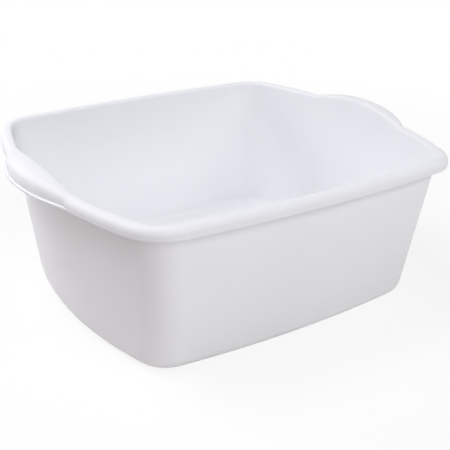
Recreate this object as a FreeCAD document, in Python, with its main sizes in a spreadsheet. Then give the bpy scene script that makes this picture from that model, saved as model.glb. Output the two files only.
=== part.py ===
"""White plastic washing-up bowl: one moulding with bowed sides, a rolled rim and two raised handles.

Millimetres, +Z up, long axis on X. The origin is the middle of the underside.
"""

import FreeCAD
import Part
import Sketcher
import math
import os

# Driving sizes: name, millimetres, meaning
SIZES = [
    ("rim_length", 376, "rim length over the lip, handles left out"),
    ("rim_width", 334, "rim width over the lip"),
    ("rim_height", 145, "top of the plain rim above the table"),
    ("rim_side_bow", 1460, "bow radius of the long sides at the lip"),
    ("rim_end_bow", 393, "bow radius of the ends at the lip"),
    ("rim_corner", 42, "corner radius at the lip"),
    ("rim_overhang", 10.8, "lip's outer face out from the outer wall"),
    ("rim_round", 6.5, "outer round of the plain rim"),
    ("handle_round", 12, "outer round at the middle of a handle"),
    ("crest_round", 3.2, "inner round where the wall turns into the rim"),
    ("lip_height", 9.5, "rim top down to the lip's lower edge"),
    ("base_length", 320, "length of the foot before its edge is rounded"),
    ("base_width", 276, "width of the foot before its edge is rounded"),
    ("base_side_bow", 1016, "bow radius of the long sides at the foot"),
    ("base_end_bow", 371, "bow radius of the ends at the foot"),
    ("base_corner", 33, "corner radius at the foot"),
    ("foot_round", 12, "outer round between wall and underside"),
    ("wall", 1.8, "thickness of walls, rim and lip"),
    ("floor_thickness", 2, "thickness of the floor"),
    ("panel_margin", 24, "width of the band the bowl stands on"),
    ("panel_rise", 1.2, "lift of the floor panel inside that band"),
    ("panel_corner", 22, "corner radius of the floor panel"),
    ("handle_length", 124, "handle's length where it leaves the lip"),
    ("handle_reach", 10.2, "handle's outer face out from the lip"),
    ("handle_blend", 8, "hollow round where lip turns into handle"),
    ("hump_length", 130, "length of the rim's rise over a handle"),
    ("hump_rise", 8.7, "handle's top above the plain rim"),
    ("hump_blend", 9, "hollow round where rim turns into the rise"),
    ("edge_rise", 2.2, "rise of the lower edge at a handle's middle"),
    ("edge_shoulder", 1, "rise of the lower edge near a handle's ends"),
    ("edge_ramp", 9, "length over which the lower edge rises"),
    ("flange_length", 136, "length of the out-turned edge under a handle"),
    ("flange_width", 2, "width of the out-turned edge under a handle"),
    ("flange_thickness", 1.5, "thickness of that out-turned edge"),
]

# Room above the rim while the pieces are trimmed
SPARE = 20

doc = FreeCAD.newDocument("washing_up_bowl")
sheet = doc.addObject("Spreadsheet::Sheet", "dims")
for row, (name, number, meaning) in enumerate(SIZES, start=1):
    sheet.set("A%d" % row, meaning)
    sheet.set("B%d" % row, str(number))
    sheet.setAlias("B%d" % row, name)
doc.recompute()


# Sizes worked out from the sheet, kept as expressions

def cell(name):
    return "dims." + name


RIM = cell("rim_height")
WALL = cell("wall")
FLOOR = cell("floor_thickness")
HALF_LENGTH = "(dims.rim_length / 2)"
HALF_WIDTH = "(dims.rim_width / 2)"
LIP_EDGE = "(dims.rim_height - dims.lip_height)"
UNDER_LIP = "(dims.rim_height - 2 * dims.lip_height)"
RIM_BLOCK = "(dims.lip_height + dims.hump_rise + %d)" % SPARE
WALL_TOP = "(dims.rim_height + dims.hump_rise + %d)" % SPARE
HALF_HUMP = "(dims.hump_length / 2)"
HALF_HANDLE = "(dims.handle_length / 2)"
HUMP_RADIUS = "((%s ^ 2 + dims.hump_rise ^ 2) / (2 * dims.hump_rise))" % HALF_HUMP
BULGE = "(dims.handle_reach + dims.rim_end_bow - sqrt(dims.rim_end_bow ^ 2 - %s ^ 2))" % HALF_HANDLE
BULGE_RADIUS = "((%s ^ 2 + %s ^ 2) / (2 * %s))" % (HALF_HANDLE, BULGE, BULGE)
BULGE_CENTRE = "(%s + dims.handle_reach - %s)" % (HALF_LENGTH, BULGE_RADIUS)

FOOT_SIZES = [
    "(dims.base_length / 2)",
    "(dims.base_width / 2)",
    cell("base_side_bow"),
    cell("base_end_bow"),
    cell("base_corner"),
]


def value(text):
    return float(sheet.evalExpression(text))


def less(text, inset):
    return "(%s - %s)" % (text, inset)


def more(text, inset):
    return "(%s + %s)" % (text, inset)


# Plane geometry

def crossing(first, reach_first, second, reach_second, side):
    """Returns the point at a reach from each of two points, left (1) or right (-1) of the way between."""
    along = second - first
    gap = along.Length
    forward = (reach_first ** 2 - reach_second ** 2 + gap ** 2) / (2 * gap)
    across = math.sqrt(reach_first ** 2 - forward ** 2)
    step = along / gap
    return first + step * forward + FreeCAD.Vector(-step.y, step.x, 0) * across * side


def touching(one, other):
    """Returns the point where two tangent circles touch."""
    large, small = sorted((one, other), key=lambda circle: -circle["radius"])
    return large["centre"] + (small["centre"] - large["centre"]).normalize() * large["radius"]


def circle(centre, radius, hollow=False):
    return {"centre": centre, "radius": radius, "hollow": hollow}


def angle(centre, point):
    return math.atan2(point.y - centre.y, point.x - centre.x)


def draw_loop(sketch, circles):
    """Draws a closed loop of tangent arcs, anticlockwise, and makes each joint tangent."""
    count = len(circles)
    ends = []
    for number, arc in enumerate(circles):
        before = angle(arc["centre"], touching(circles[number - 1], arc))
        after = angle(arc["centre"], touching(arc, circles[(number + 1) % count]))
        if arc["hollow"]:
            before, after = after, before
        if after < before:
            after += 2 * math.pi
        whole = Part.Circle(arc["centre"], FreeCAD.Vector(0, 0, 1), arc["radius"])
        sketch.addGeometry(Part.ArcOfCircle(whole, before, after))
        ends.append((2, 1) if arc["hollow"] else (1, 2))
    for number in range(count):
        following = (number + 1) % count
        join = (number, ends[number][1], following, ends[following][0])
        sketch.addConstraint(Sketcher.Constraint("Tangent", *join))


# Sketch helpers

def plane(body, role):
    return [item for item in body.Origin.OriginFeatures if item.Role == role][0]


def new_sketch(body, name, role, height=None):
    sketch = body.newObject("Sketcher::SketchObject", name)
    sketch.AttachmentSupport = [(plane(body, role), "")]
    sketch.MapMode = "FlatFace"
    if height:
        sketch.setExpression("AttachmentOffset.Base.z", height)
    doc.recompute()
    return sketch


def bind(sketch, kind, places, text):
    """Adds a dimension to a sketch and ties it to the sheet."""
    number = sketch.addConstraint(Sketcher.Constraint(kind, *places, value(text)))
    sketch.setExpression("Constraints[%d]" % number, text)


def bind_radius(sketch, arc, text):
    bind(sketch, "Radius", (arc,), text)


def bind_centre_on_x(sketch, arc, text):
    sketch.addConstraint(Sketcher.Constraint("PointOnObject", arc, 3, -1))
    bind(sketch, "DistanceX", (-1, 1, arc, 3), text)


def bind_centre_on_y(sketch, arc, text):
    sketch.addConstraint(Sketcher.Constraint("PointOnObject", arc, 3, -2))
    bind(sketch, "DistanceY", (-1, 1, arc, 3), text)


def at(x, y):
    return FreeCAD.Vector(x, y, 0)


# Outlines

def bowed_outline(body, name, height, sizes):
    """Sketches a bowed rectangle of eight tangent arcs at a height."""
    half_length, half_width, side_bow, end_bow, corner = sizes
    sketch = new_sketch(body, name, "XY_Plane", height)
    side_centre = less(half_width, side_bow)
    end_centre = less(half_length, end_bow)
    side_radius, end_radius, corner_radius = value(side_bow), value(end_bow), value(corner)
    side_y, end_x = value(side_centre), value(end_centre)
    end_reach = end_radius - corner_radius
    side_reach = side_radius - corner_radius
    heart = crossing(at(end_x, 0), end_reach, at(0, side_y), side_reach, 1)
    loop = [
        circle(at(end_x, 0), end_radius),
        circle(at(heart.x, heart.y), corner_radius),
        circle(at(0, side_y), side_radius),
        circle(at(-heart.x, heart.y), corner_radius),
        circle(at(-end_x, 0), end_radius),
        circle(at(-heart.x, -heart.y), corner_radius),
        circle(at(0, -side_y), side_radius),
        circle(at(heart.x, -heart.y), corner_radius),
    ]
    draw_loop(sketch, loop)
    bind_centre_on_x(sketch, 0, end_centre)
    bind_centre_on_y(sketch, 2, side_centre)
    bind_centre_on_x(sketch, 4, "-" + end_centre)
    bind_centre_on_y(sketch, 6, "-" + side_centre)
    for arc in (0, 4):
        bind_radius(sketch, arc, end_bow)
    for arc in (2, 6):
        bind_radius(sketch, arc, side_bow)
    for arc in (1, 3, 5, 7):
        bind_radius(sketch, arc, corner)
    doc.recompute()
    return sketch


def wall_sizes(height, inset):
    """Returns the outline of the sloping wall at a height, drawn in by an inset."""
    share = "(%s / %s)" % (height, LIP_EDGE)
    tops = [
        less(HALF_LENGTH, cell("rim_overhang")),
        less(HALF_WIDTH, cell("rim_overhang")),
        less(cell("rim_side_bow"), cell("rim_overhang")),
        less(cell("rim_end_bow"), cell("rim_overhang")),
        less(cell("rim_corner"), cell("rim_overhang")),
    ]
    sizes = []
    for foot, top in zip(FOOT_SIZES, tops):
        sizes.append("(%s + (%s - %s) * %s - %s)" % (foot, top, foot, share, inset))
    return sizes


def lip_outline(body, name, height, inset):
    """Sketches the lip with a bulge at each end, drawn in by an inset."""
    sketch = new_sketch(body, name, "XY_Plane", height)
    side_bow = less(cell("rim_side_bow"), inset)
    end_bow = less(cell("rim_end_bow"), inset)
    corner = less(cell("rim_corner"), inset)
    bulge = less(BULGE_RADIUS, inset)
    blend = more(cell("handle_blend"), inset)
    side_centre = less(HALF_WIDTH, cell("rim_side_bow"))
    end_centre = less(HALF_LENGTH, cell("rim_end_bow"))
    side_radius, end_radius, corner_radius = value(side_bow), value(end_bow), value(corner)
    bulge_radius, blend_radius = value(bulge), value(blend)
    side_y, end_x, bulge_x = value(side_centre), value(end_centre), value(BULGE_CENTRE)
    end_reach = end_radius - corner_radius
    side_reach = side_radius - corner_radius
    heart = crossing(at(end_x, 0), end_reach, at(0, side_y), side_reach, 1)
    dip = crossing(at(end_x, 0), end_radius + blend_radius, at(bulge_x, 0), bulge_radius + blend_radius, 1)
    quarter = [
        (bulge_x, 0, bulge_radius, False),
        (dip.x, dip.y, blend_radius, True),
        (end_x, 0, end_radius, False),
        (heart.x, heart.y, corner_radius, False),
        (0, side_y, side_radius, False),
    ]
    loop = []
    for x, y, radius, hollow in quarter:
        loop.append(circle(at(x, y), radius, hollow))
    for x, y, radius, hollow in quarter[3:0:-1]:
        loop.append(circle(at(-x, y), radius, hollow))
    for x, y, radius, hollow in quarter:
        loop.append(circle(at(-x, -y), radius, hollow))
    for x, y, radius, hollow in quarter[3:0:-1]:
        loop.append(circle(at(x, -y), radius, hollow))
    draw_loop(sketch, loop)
    bind_centre_on_x(sketch, 0, BULGE_CENTRE)
    bind_centre_on_x(sketch, 8, "-" + BULGE_CENTRE)
    bind_centre_on_x(sketch, 2, end_centre)
    bind_centre_on_x(sketch, 6, "-" + end_centre)
    bind_centre_on_y(sketch, 4, side_centre)
    bind_centre_on_y(sketch, 12, "-" + side_centre)
    for first, twin in ((2, 14), (6, 10)):
        sketch.addConstraint(Sketcher.Constraint("Coincident", first, 3, twin, 3))
        sketch.addConstraint(Sketcher.Constraint("Equal", first, twin))
        bind_radius(sketch, first, end_bow)
    for arc in (0, 8):
        bind_radius(sketch, arc, bulge)
    for arc in (4, 12):
        bind_radius(sketch, arc, side_bow)
    for arc in (1, 7, 9, 15):
        bind_radius(sketch, arc, blend)
    for arc in (3, 5, 11, 13):
        bind_radius(sketch, arc, corner)
    doc.recompute()
    return sketch


# Rise of the rim over the handles, seen along X

def above_rim(body, name, drop):
    """Sketches the space above the rim's top, lowered by a drop, with its rise over the handles.

    The rise is two arcs that meet at its top, so that each half of a handle has an edge of its own.
    """
    sketch = new_sketch(body, name, "YZ_Plane")
    level = less(cell("rim_height"), drop)
    crown = less(HUMP_RADIUS, drop)
    crown_centre = "(dims.rim_height + dims.hump_rise - %s)" % HUMP_RADIUS
    blend = more(cell("hump_blend"), drop)
    side = HALF_WIDTH + " + %d" % SPARE
    ceiling = WALL_TOP + " + %d" % SPARE
    flat, roof, edge = value(level), value(ceiling), value(side)
    middle = at(0, value(crown_centre))
    foot_height = value(cell("rim_height")) + value(cell("hump_blend")) - middle.y
    foot = math.sqrt((value(crown) + value(blend)) ** 2 - foot_height ** 2)
    top = circle(middle, value(crown))
    right = circle(at(foot, flat + value(blend)), value(blend))
    left = circle(at(-foot, flat + value(blend)), value(blend))
    right_joint = touching(top, right)
    left_joint = touching(top, left)
    up = FreeCAD.Vector(0, 0, 1)
    right_arc = Part.Circle(right["centre"], up, right["radius"])
    left_arc = Part.Circle(left["centre"], up, left["radius"])
    top_arc = Part.Circle(middle, up, top["radius"])
    sketch.addGeometry(Part.LineSegment(at(edge, flat), at(foot, flat)))
    sketch.addGeometry(Part.ArcOfCircle(right_arc, angle(right["centre"], right_joint), -math.pi / 2))
    sketch.addGeometry(Part.ArcOfCircle(top_arc, angle(middle, right_joint), math.pi / 2))
    sketch.addGeometry(Part.ArcOfCircle(left_arc, -math.pi / 2, angle(left["centre"], left_joint)))
    sketch.addGeometry(Part.LineSegment(at(-foot, flat), at(-edge, flat)))
    sketch.addGeometry(Part.LineSegment(at(-edge, flat), at(-edge, roof)))
    sketch.addGeometry(Part.LineSegment(at(-edge, roof), at(edge, roof)))
    sketch.addGeometry(Part.LineSegment(at(edge, roof), at(edge, flat)))
    sketch.addGeometry(Part.ArcOfCircle(top_arc, math.pi / 2, angle(middle, left_joint)))
    sketch.addConstraint(Sketcher.Constraint("PointOnObject", 2, 2, -2))
    for join in ((0, 2, 1, 2), (1, 1, 2, 1), (2, 2, 8, 1), (8, 2, 3, 2), (3, 1, 4, 1)):
        sketch.addConstraint(Sketcher.Constraint("Tangent", *join))
    for join in ((4, 2, 5, 1), (5, 2, 6, 1), (6, 2, 7, 1), (7, 2, 0, 1)):
        sketch.addConstraint(Sketcher.Constraint("Coincident", *join))
    for line in (0, 4, 6):
        sketch.addConstraint(Sketcher.Constraint("Horizontal", line))
    for line in (5, 7):
        sketch.addConstraint(Sketcher.Constraint("Vertical", line))
    bind_centre_on_y(sketch, 2, crown_centre)
    for arc in (2, 8):
        bind_radius(sketch, arc, crown)
    for arc in (1, 3):
        bind_radius(sketch, arc, blend)
    bind(sketch, "DistanceY", (-1, 1, 0, 1), level)
    bind(sketch, "DistanceY", (-1, 1, 4, 2), level)
    bind(sketch, "DistanceX", (-1, 1, 0, 1), side)
    bind(sketch, "DistanceX", (-1, 1, 4, 2), "-(%s)" % side)
    bind(sketch, "DistanceY", (-1, 1, 6, 1), ceiling)
    doc.recompute()
    return sketch


def lower_edge(body, name, lift, far):
    """Sketches the space from the lip's lower edge at the handles, lifted, as far as a level."""
    sketch = new_sketch(body, name, "YZ_Plane")
    spring = more(LIP_EDGE, lift)
    shoulder = more(spring, cell("edge_shoulder"))
    inner = less(HALF_HANDLE, "(dims.edge_ramp / 2)")
    outer = more(HALF_HANDLE, "(dims.edge_ramp / 2)")
    crown = "(dims.edge_rise - dims.edge_shoulder)"
    radius = "((%s ^ 2 + %s ^ 2) / (2 * %s))" % (inner, crown, crown)
    centre = "(%s + %s - %s)" % (shoulder, crown, radius)
    side = more(HALF_HUMP, cell("handle_blend"))
    near, wide, edge = value(inner), value(outer), value(side)
    level, low, end = value(shoulder), value(spring), value(far)
    middle = at(0, value(centre))
    start = angle(middle, at(near, level))
    whole = Part.Circle(middle, FreeCAD.Vector(0, 0, 1), value(radius))
    sketch.addGeometry(Part.ArcOfCircle(whole, start, math.pi - start))
    left = [(-near, level), (-wide, low), (-edge, low), (-edge, end)]
    right = [(edge, end), (edge, low), (wide, low), (near, level)]
    corners = left + right
    for first, second in zip(corners, corners[1:]):
        sketch.addGeometry(Part.LineSegment(at(*first), at(*second)))
    for number in range(8):
        join = (number, 2, (number + 1) % 8, 1)
        sketch.addConstraint(Sketcher.Constraint("Coincident", *join))
    for line in (2, 4, 6):
        sketch.addConstraint(Sketcher.Constraint("Horizontal", line))
    for line in (3, 5):
        sketch.addConstraint(Sketcher.Constraint("Vertical", line))
    bind_centre_on_y(sketch, 0, centre)
    bind_radius(sketch, 0, radius)
    bind(sketch, "DistanceX", (-1, 1, 0, 1), inner)
    bind(sketch, "DistanceX", (-1, 1, 0, 2), "-" + inner)
    bind(sketch, "DistanceX", (-1, 1, 6, 2), outer)
    bind(sketch, "DistanceX", (-1, 1, 1, 2), "-" + outer)
    bind(sketch, "DistanceX", (-1, 1, 6, 1), side)
    bind(sketch, "DistanceX", (-1, 1, 2, 2), "-" + side)
    bind(sketch, "DistanceY", (-1, 1, 6, 2), spring)
    bind(sketch, "DistanceY", (-1, 1, 1, 2), spring)
    bind(sketch, "DistanceY", (-1, 1, 4, 1), far)
    doc.recompute()
    return sketch


def arc_about(centre, radius, facing, turn):
    """Returns an arc about a point of the X axis that spreads both ways from the way it faces."""
    whole = Part.Circle(at(centre, 0), FreeCAD.Vector(0, 0, 1), radius)
    return Part.ArcOfCircle(whole, facing - turn, facing + turn)


def flange_outline(body, name, height):
    """Sketches the out-turned edge of both handles: a thin crescent rooted in each handle's side."""
    sketch = new_sketch(body, name, "XY_Plane", height)
    tip = "(dims.flange_length / 2)"
    reach = "(dims.handle_reach + dims.flange_width)"
    bulge = "(%s + dims.rim_end_bow - sqrt(dims.rim_end_bow ^ 2 - %s ^ 2))" % (reach, tip)
    outer = "((%s ^ 2 + %s ^ 2) / (2 * %s))" % (tip, bulge, bulge)
    outer_centre = "(%s + %s - %s)" % (HALF_LENGTH, reach, outer)
    inner = less(BULGE_RADIUS, "(dims.wall / 2)")
    root = less(HALF_HANDLE, cell("wall"))
    outer_turn = math.asin(value(tip) / value(outer))
    inner_turn = math.asin(value(root) / value(inner))
    for side, sign, facing in ((1, "", 0), (-1, "-", math.pi)):
        first = sketch.GeometryCount
        outer_arc = arc_about(side * value(outer_centre), value(outer), facing, outer_turn)
        inner_arc = arc_about(side * value(BULGE_CENTRE), value(inner), facing, inner_turn)
        sketch.addGeometry(outer_arc)
        sketch.addGeometry(inner_arc)
        sketch.addGeometry(Part.LineSegment(outer_arc.EndPoint, inner_arc.EndPoint))
        sketch.addGeometry(Part.LineSegment(inner_arc.StartPoint, outer_arc.StartPoint))
        for one, one_end, other, other_end in ((0, 2, 2, 1), (2, 2, 1, 2), (1, 1, 3, 1), (3, 2, 0, 1)):
            join = (first + one, one_end, first + other, other_end)
            sketch.addConstraint(Sketcher.Constraint("Coincident", *join))
        bind_centre_on_x(sketch, first, sign + outer_centre)
        bind_centre_on_x(sketch, first + 1, sign + BULGE_CENTRE)
        bind_radius(sketch, first, outer)
        bind_radius(sketch, first + 1, inner)
        low, high = ("-", "") if side == 1 else ("", "-")
        bind(sketch, "DistanceY", (-1, 1, first, 1), low + tip)
        bind(sketch, "DistanceY", (-1, 1, first, 2), high + tip)
        bind(sketch, "DistanceY", (-1, 1, first + 1, 1), low + root)
        bind(sketch, "DistanceY", (-1, 1, first + 1, 2), high + root)
    doc.recompute()
    return sketch


# Features

def new_body(name):
    return doc.addObject("PartDesign::Body", name)


def body_from(name, solid):
    """Starts a body from a solid that is already made."""
    body = new_body(name)
    body.BaseFeature = solid
    doc.recompute()
    return body


def pad(body, name, sketch, length):
    feature = body.newObject("PartDesign::Pad", name)
    feature.Profile = sketch
    feature.setExpression("Length", length)
    doc.recompute()
    return feature


def cut_along(body, name, sketch, merge=True):
    """Cuts a sketch through everything, both ways from its plane, and may merge faces that run on."""
    volume = body.Shape.Volume
    feature = body.newObject("PartDesign::Pocket", name)
    feature.Profile = sketch
    feature.Type = "ThroughAll"
    feature.SideType = "Symmetric"
    feature.Refine = merge
    doc.recompute()
    if body.Shape.Volume > volume - 1:
        raise RuntimeError(name + " took nothing away")
    return feature


def loft(body, name, high, low):
    feature = body.newObject("PartDesign::AdditiveLoft", name)
    feature.Profile = high
    feature.Sections = [low]
    feature.Ruled = True
    doc.recompute()
    return feature


def combine(body, name, tool, kind):
    feature = body.newObject("PartDesign::Boolean", name)
    feature.Type = kind
    feature.setObjects([tool])
    doc.recompute()
    return feature


def lift_panel(body, name, height, growth):
    """Cuts the middle of a floor up by the panel's rise, with the outline grown by a margin."""
    inset = "(dims.foot_round + dims.panel_margin - %s)" % growth
    sizes = [less(size, inset) for size in FOOT_SIZES[:4]] + [more(cell("panel_corner"), growth)]
    volume = body.Shape.Volume
    sketch = bowed_outline(body, name + "_outline", height, sizes)
    feature = body.newObject("PartDesign::Pocket", name)
    feature.Profile = sketch
    feature.Reversed = True
    feature.setExpression("Length", cell("panel_rise"))
    doc.recompute()
    if body.Shape.Volume > volume - 1:
        raise RuntimeError(name + " took nothing away")
    return feature


def lean(face):
    """Returns the upward part of a face's outward normal at its middle."""
    first_u, last_u, first_v, last_v = face.ParameterRange
    return face.normalAt((first_u + last_u) / 2, (first_v + last_v) / 2).z


def is_top(face):
    return lean(face) > 0.9


def is_side(face):
    return abs(lean(face)) < 0.3


def is_under(face):
    return lean(face) < -0.9


def edges_between(shape, first_test, second_test, level):
    """Returns the names of the edges at or above a level where two kinds of face meet."""
    names = []
    for number, edge in enumerate(shape.Edges, start=1):
        faces = shape.ancestorsOfType(edge, Part.Face)
        if len(faces) != 2 or edge.BoundBox.ZMin < value(level) - 0.1:
            continue
        one, other = faces
        if (first_test(one) and second_test(other)) or (first_test(other) and second_test(one)):
            names.append("Edge%d" % number)
    return names


def round_edges(body, name, first_test, second_test, level, radius):
    """Rounds the edges at or above a level where two kinds of face meet."""
    base = body.Tip
    edges = edges_between(base.Shape, first_test, second_test, level)
    feature = body.newObject("PartDesign::Fillet", name)
    feature.Base = (base, edges)
    feature.setExpression("Radius", radius)
    doc.recompute()
    return feature


def roll_edges(block, name, level, inset):
    """Rounds a block's upper edge, with a round that swells towards the middle of each handle."""
    plain = value(less(cell("rim_round"), inset))
    swollen = value(less(cell("handle_round"), inset))
    rounds = []
    for edge_name in edges_between(block.Shape, is_top, is_side, level):
        edge = block.Shape.getElement(edge_name)
        if abs(edge.CenterOfMass.x) < value(HALF_LENGTH):
            continue
        ends = (edge.valueAt(edge.FirstParameter), edge.valueAt(edge.LastParameter))
        first, last = [swollen if abs(end.y) < 1 else plain for end in ends]
        rounds.append((int(edge_name.removeprefix("Edge")), first, last))
    feature = doc.addObject("Part::Fillet", name)
    feature.Base = block
    feature.Edges = rounds
    doc.recompute()
    return feature


# Rim and handles, outside

rim = new_body("rim")
lip_outside = lip_outline(rim, "lip_outside", LIP_EDGE, "0")
pad(rim, "rim_block", lip_outside, RIM_BLOCK)
cut_along(rim, "rim_top", above_rim(rim, "above_rim", "0"), merge=False)
cut_along(rim, "handle_edge", lower_edge(rim, "below_handle", "0", UNDER_LIP), merge=False)
bowl = body_from("bowl", roll_edges(rim, "rim_roll", RIM, "0"))

# Hollow under the rim and handles

core = new_body("core")
lip_inside = lip_outline(core, "lip_inside", UNDER_LIP, WALL)
pad(core, "core_block", lip_inside, more(RIM_BLOCK, cell("lip_height")))
cut_along(core, "core_top", above_rim(core, "under_rim", WALL), merge=False)
hollow = body_from("rim_hollow", roll_edges(core, "core_roll", LIP_EDGE, WALL))
combine(bowl, "rim_shell", hollow, "Cut")

# Sloping walls and floor, outside

tub = new_body("tub")
foot_outline = bowed_outline(tub, "foot_outline", "0", wall_sizes("0", "0"))
wall_outline = bowed_outline(tub, "wall_outline", WALL_TOP, wall_sizes(WALL_TOP, "0"))
loft(tub, "walls", wall_outline, foot_outline)
cut_along(tub, "wall_trim", above_rim(tub, "within_rim", "(dims.wall / 2)"))
round_edges(tub, "foot_edge", is_under, is_side, "0", cell("foot_round"))
lift_panel(tub, "stand_recess", "0", "0")
combine(bowl, "walls_and_rim", tub, "Fuse")
root_level = less(RIM, "(2 * dims.wall)")
round_edges(bowl, "rim_root", is_under, is_side, root_level, less(cell("crest_round"), WALL))

# Out-turned edge under each handle

flange = new_body("flange")
flange.AllowCompound = True
pad(flange, "flange_block", flange_outline(flange, "flange_plan", LIP_EDGE), RIM_BLOCK)
cut_along(flange, "flange_top", lower_edge(flange, "over_flange", cell("flange_thickness"), WALL_TOP))
cut_along(flange, "flange_under", lower_edge(flange, "under_flange", "0", UNDER_LIP))
combine(bowl, "handle_flanges", flange, "Fuse")

# Inside of the bowl

inside = new_body("inside")
floor_outline = bowed_outline(inside, "floor_outline", FLOOR, wall_sizes(FLOOR, WALL))
mouth_outline = bowed_outline(inside, "mouth_outline", WALL_TOP, wall_sizes(WALL_TOP, WALL))
loft(inside, "inside_walls", mouth_outline, floor_outline)
round_edges(inside, "floor_edge", is_under, is_side, "0", less(cell("foot_round"), WALL))
lift_panel(inside, "floor_panel", FLOOR, WALL)
combine(bowl, "opening", inside, "Cut")
round_edges(bowl, "crest", is_top, is_side, RIM, cell("crest_round"))

# Checks and file

doc.recompute()
faults = [item.Name for item in doc.Objects if "Invalid" in item.State or "Error" in item.State]
if faults:
    raise RuntimeError("features failed: " + ", ".join(faults))
if bowl.Shape.isNull() or not bowl.Shape.isValid() or len(bowl.Shape.Solids) != 1:
    raise RuntimeError("the bowl is not one valid solid")
os.makedirs("parts", exist_ok=True)
bowl.Shape.exportStep("parts/%s.step" % bowl.Label)
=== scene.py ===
"""Looks for the washing-up bowl: white moulded plastic under soft studio light, on a pale floor."""

import math

import bpy
from mathutils import Matrix, Vector

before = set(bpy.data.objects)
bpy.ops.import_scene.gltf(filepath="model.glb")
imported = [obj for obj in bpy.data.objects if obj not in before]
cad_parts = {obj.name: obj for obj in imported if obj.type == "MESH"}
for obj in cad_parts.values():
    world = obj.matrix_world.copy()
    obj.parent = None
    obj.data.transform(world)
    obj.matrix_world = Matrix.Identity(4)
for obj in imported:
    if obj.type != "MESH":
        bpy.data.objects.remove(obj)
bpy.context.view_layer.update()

scene = bpy.context.scene
scene.view_settings.view_transform = "Standard"


# Named values, lengths in metres

PLASTIC_DARKER = (0.9, 0.912, 0.935, 1.0)
PLASTIC_LIGHTER = (0.92, 0.932, 0.95, 1.0)
GLOSSIER = 0.46
DULLER = 0.56
NOISE_LOW = 0.3
NOISE_HIGH = 0.7

FLOOR_HALF = 8.0
FLOOR_PAPER = (0.83, 0.79, 0.77, 1.0)
FLOOR_SHADED = (0.97, 0.97, 0.97, 1.0)
WHITE = (1.0, 1.0, 1.0, 1.0)
SHADOW_REACH = 0.3
WHITE_REACH = 0.8
WHITE_SHARE_NEAR = 0.84
WHITE_SHARE_FAR = 1.0

BOWL_MIDDLE = (0, 0, 0.08)

PICTURE_PIXELS = 450
SENSOR_MILLIMETRES = 36
AZIMUTH = math.radians(-33.547)
ELEVATION = math.radians(23.804)
ROLL = math.radians(0.870)
DISTANCE = 0.8205
FOCAL_PIXELS = 830.74
AIM_RIGHT = 0.01098
AIM_HEIGHT = 0.0675
CENTRE_RIGHT_PIXELS = 2.118
CENTRE_DOWN_PIXELS = -13.155


# Node helpers

def node(tree, kind, inputs=None, **settings):
    """Adds a node, with its properties set by name and its inputs by label."""
    made = tree.nodes.new(kind)
    for name, setting in settings.items():
        setattr(made, name, setting)
    for label, constant in (inputs or {}).items():
        made.inputs[label].default_value = constant
    return made


def new_material(name):
    """Adds a material with an empty node tree."""
    material = bpy.data.materials.new(name)
    material.use_nodes = True
    material.node_tree.nodes.clear()
    return material


def noise(tree, place, scale, detail, roughness):
    """Adds a noise texture that sits in the object's own space."""
    constants = {"Scale": scale, "Detail": detail, "Roughness": roughness}
    made = node(tree, "ShaderNodeTexNoise", constants)
    tree.links.new(place.outputs["Object"], made.inputs["Vector"])
    return made.outputs["Fac"]


def mapped(tree, source, from_low, from_high, to_low, to_high):
    """Maps a range of numbers onto another."""
    constants = {"From Min": from_low, "From Max": from_high, "To Min": to_low, "To Max": to_high}
    made = node(tree, "ShaderNodeMapRange", constants)
    tree.links.new(source, made.inputs["Value"])
    return made.outputs["Result"]


def mixed(tree, share, first, second):
    """Mixes two shaders."""
    made = node(tree, "ShaderNodeMixShader")
    tree.links.new(share, made.inputs["Fac"])
    tree.links.new(first, made.inputs[1])
    tree.links.new(second, made.inputs[2])
    return made.outputs["Shader"]


def larger(tree, first, second):
    """Takes the larger of two numbers."""
    made = node(tree, "ShaderNodeMath", operation="MAXIMUM")
    tree.links.new(first, made.inputs[0])
    tree.links.new(second, made.inputs[1])
    return made.outputs["Value"]


def seen_directly(tree):
    """Gives 1 to rays from the camera, off a gloss or through a clear thing, and 0 to all others."""
    path = node(tree, "ShaderNodeLightPath")
    mirrored = larger(tree, path.outputs["Is Camera Ray"], path.outputs["Is Glossy Ray"])
    return larger(tree, mirrored, path.outputs["Is Transmission Ray"])


# White moulded plastic

def moulded_plastic():
    """Satin white plastic: faint clouding from the melt, a fine mould grain and slightly uneven gloss."""
    material = new_material("white_moulded_plastic")
    tree = material.node_tree
    link = tree.links.new
    place = node(tree, "ShaderNodeTexCoord")
    clouds = noise(tree, place, scale=9.0, detail=3.0, roughness=0.5)
    grain = noise(tree, place, scale=1400.0, detail=2.0, roughness=0.6)
    waves = noise(tree, place, scale=22.0, detail=2.0, roughness=0.45)
    tint = node(tree, "ShaderNodeValToRGB")
    darker, lighter = tint.color_ramp.elements
    darker.position = NOISE_LOW
    darker.color = PLASTIC_DARKER
    lighter.position = NOISE_HIGH
    lighter.color = PLASTIC_LIGHTER
    link(clouds, tint.inputs["Fac"])
    grain_bump = node(tree, "ShaderNodeBump", {"Strength": 0.08, "Distance": 0.0002})
    link(grain, grain_bump.inputs["Height"])
    wave_bump = node(tree, "ShaderNodeBump", {"Strength": 0.05, "Distance": 0.002})
    link(waves, wave_bump.inputs["Height"])
    link(grain_bump.outputs["Normal"], wave_bump.inputs["Normal"])
    shader = node(tree, "ShaderNodeBsdfPrincipled", {
        "IOR": 1.49,
        "Specular IOR Level": 0.3,
        "Subsurface Weight": 0.2,
        "Subsurface Radius": (1.0, 0.9, 0.85),
        "Subsurface Scale": 0.003,
    })
    link(tint.outputs["Color"], shader.inputs["Base Color"])
    link(mapped(tree, waves, NOISE_LOW, NOISE_HIGH, GLOSSIER, DULLER), shader.inputs["Roughness"])
    link(wave_bump.outputs["Normal"], shader.inputs["Normal"])
    output = node(tree, "ShaderNodeOutputMaterial")
    link(shader.outputs["BSDF"], output.inputs["Surface"])
    return material


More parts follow.
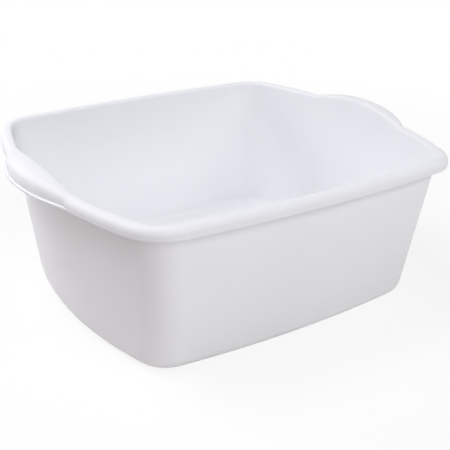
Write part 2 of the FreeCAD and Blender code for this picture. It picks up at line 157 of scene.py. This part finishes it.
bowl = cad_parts["bowl"]
bowl.data.materials.clear()
bowl.data.materials.append(moulded_plastic())


# Pale floor

def pale_floor():
    """Pale paper to bounced light. Where seen, a soft shadow near the bowl and white further off."""
    material = new_material("pale_floor")
    tree = material.node_tree
    place = node(tree, "ShaderNodeTexCoord")
    reach = node(tree, "ShaderNodeVectorMath", operation="LENGTH")
    tree.links.new(place.outputs["Object"], reach.inputs[0])
    white_share = mapped(tree, reach.outputs["Value"], SHADOW_REACH, WHITE_REACH,
                         WHITE_SHARE_NEAR, WHITE_SHARE_FAR)
    paper = node(tree, "ShaderNodeBsdfDiffuse", {"Color": FLOOR_PAPER})
    shaded = node(tree, "ShaderNodeBsdfDiffuse", {"Color": FLOOR_SHADED})
    white = node(tree, "ShaderNodeEmission", {"Color": WHITE, "Strength": 1.0})
    shown = mixed(tree, white_share, shaded.outputs["BSDF"], white.outputs["Emission"])
    surface = mixed(tree, seen_directly(tree), paper.outputs["BSDF"], shown)
    output = node(tree, "ShaderNodeOutputMaterial")
    tree.links.new(surface, output.inputs["Surface"])
    return material


floor_corners = [(-FLOOR_HALF, -FLOOR_HALF, 0), (FLOOR_HALF, -FLOOR_HALF, 0),
                 (FLOOR_HALF, FLOOR_HALF, 0), (-FLOOR_HALF, FLOOR_HALF, 0)]
floor_mesh = bpy.data.meshes.new("floor")
floor_mesh.from_pydata(floor_corners, [], [(0, 1, 2, 3)])
floor_mesh.materials.append(pale_floor())
floor = bpy.data.objects.new("floor", floor_mesh)
scene.collection.objects.link(floor)


# Surroundings and lamps

def white_surroundings():
    """White where they are seen or mirrored. They give no other light."""
    world = bpy.data.worlds.new("studio")
    scene.world = world
    world.use_nodes = True
    tree = world.node_tree
    tree.nodes.clear()
    dark = node(tree, "ShaderNodeBackground", {"Strength": 0.0})
    white = node(tree, "ShaderNodeBackground", {"Color": WHITE, "Strength": 1.0})
    surface = mixed(tree, seen_directly(tree), dark.outputs["Background"], white.outputs["Background"])
    output = node(tree, "ShaderNodeOutputWorld")
    tree.links.new(surface, output.inputs["Surface"])


def softbox(name, place, width, height, watts, colour):
    """Adds a rectangular lamp that faces the middle of the bowl."""
    lamp = bpy.data.lights.new(name, "AREA")
    lamp.shape = "RECTANGLE"
    lamp.size = width
    lamp.size_y = height
    lamp.energy = watts
    lamp.color = colour
    holder = bpy.data.objects.new(name, lamp)
    scene.collection.objects.link(holder)
    holder.location = place
    aim = Vector(BOWL_MIDDLE) - Vector(place)
    holder.rotation_euler = aim.to_track_quat("-Z", "Y").to_euler()


white_surroundings()
softbox("top_box", (-0.7, 0.5, 2.0), width=1.0, height=1.0, watts=17.9, colour=(0.97, 0.975, 1.0))
softbox("front_box", (0.3, -1.9, 1.3), width=3.0, height=1.2, watts=31.4, colour=(0.985, 0.985, 1.0))
softbox("right_box", (1.6, -1.4, 1.0), width=1.5, height=1.5, watts=3.9, colour=(0.86, 0.895, 1.0))
softbox("left_box", (-1.1, 0.3, 1.7), width=0.8, height=0.8, watts=7.6, colour=(0.975, 0.93, 1.0))
softbox("back_box", (-0.9, 1.5, 0.9), width=0.8, height=0.8, watts=11.5, colour=(0.99, 0.97, 1.0))


# Camera at the photograph's angle

def photo_camera():
    """Stands the camera where the fit to the photograph's outlines puts it."""
    back = Vector((math.sin(AZIMUTH) * math.cos(ELEVATION),
                   -math.cos(AZIMUTH) * math.cos(ELEVATION),
                   math.sin(ELEVATION)))
    level = Vector((math.cos(AZIMUTH), math.sin(AZIMUTH), 0))
    upward = back.cross(level)
    right = level * math.cos(ROLL) + upward * math.sin(ROLL)
    up = upward * math.cos(ROLL) - level * math.sin(ROLL)
    place = level * AIM_RIGHT + Vector((0, 0, AIM_HEIGHT)) + back * DISTANCE
    data = bpy.data.cameras.new("photo_camera")
    data.sensor_width = SENSOR_MILLIMETRES
    data.lens = FOCAL_PIXELS / PICTURE_PIXELS * SENSOR_MILLIMETRES
    data.shift_x = -CENTRE_RIGHT_PIXELS / PICTURE_PIXELS
    data.shift_y = CENTRE_DOWN_PIXELS / PICTURE_PIXELS
    data.clip_start = 0.01
    camera = bpy.data.objects.new("photo_camera", data)
    scene.collection.objects.link(camera)
    turn = Matrix((right, up, back)).transposed()
    camera.matrix_world = Matrix.Translation(place) @ turn.to_4x4()
    scene.camera = camera


photo_camera()
